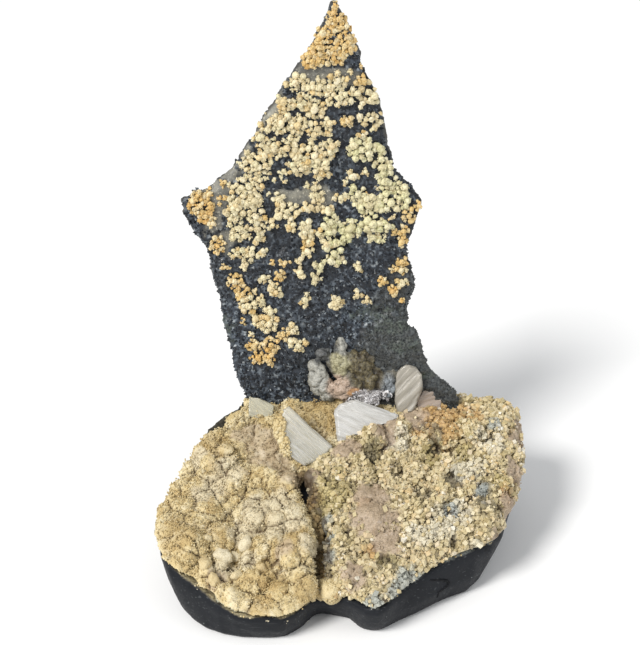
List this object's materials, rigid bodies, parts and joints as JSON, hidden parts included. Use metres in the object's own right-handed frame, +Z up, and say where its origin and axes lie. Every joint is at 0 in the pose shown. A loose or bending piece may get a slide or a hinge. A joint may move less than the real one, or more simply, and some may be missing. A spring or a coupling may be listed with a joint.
{
  "type": "calcite geode specimen",
  "caption": "Mineral specimen: a dark basalt foot with two tan calcite crusts, a tall upright drusy slab dotted with calcite balls, and clear calcite blades.",
  "frame": {"origin": "middle of the specimen in plan, on the flat underside that it stands on", "axes": "+Z up; +Y from the notched front to the back; +X to the right of someone facing the front, where the higher crust lies"},
  "size_m": [0.2107, 0.1772, 0.3061],
  "materials": {
    "basalt": "satin",
    "tan_calcite": "matte",
    "honey_calcite": "matte",
    "druse": "satin",
    "grey_growth": "satin",
    "clear_calcite": "gloss"
  },
  "bodies": {
    "root": {"basalt_foot": "basalt", "left_crust": "tan_calcite", "right_crust": "honey_calcite", "standing_slab": "druse", "slab_foot_growth": "grey_growth", "left_blade": "clear_calcite", "long_blade": "clear_calcite", "white_blade": "clear_calcite", "grey_blade": "clear_calcite", "small_blade": "clear_calcite"}
  },
  "joints": []
}
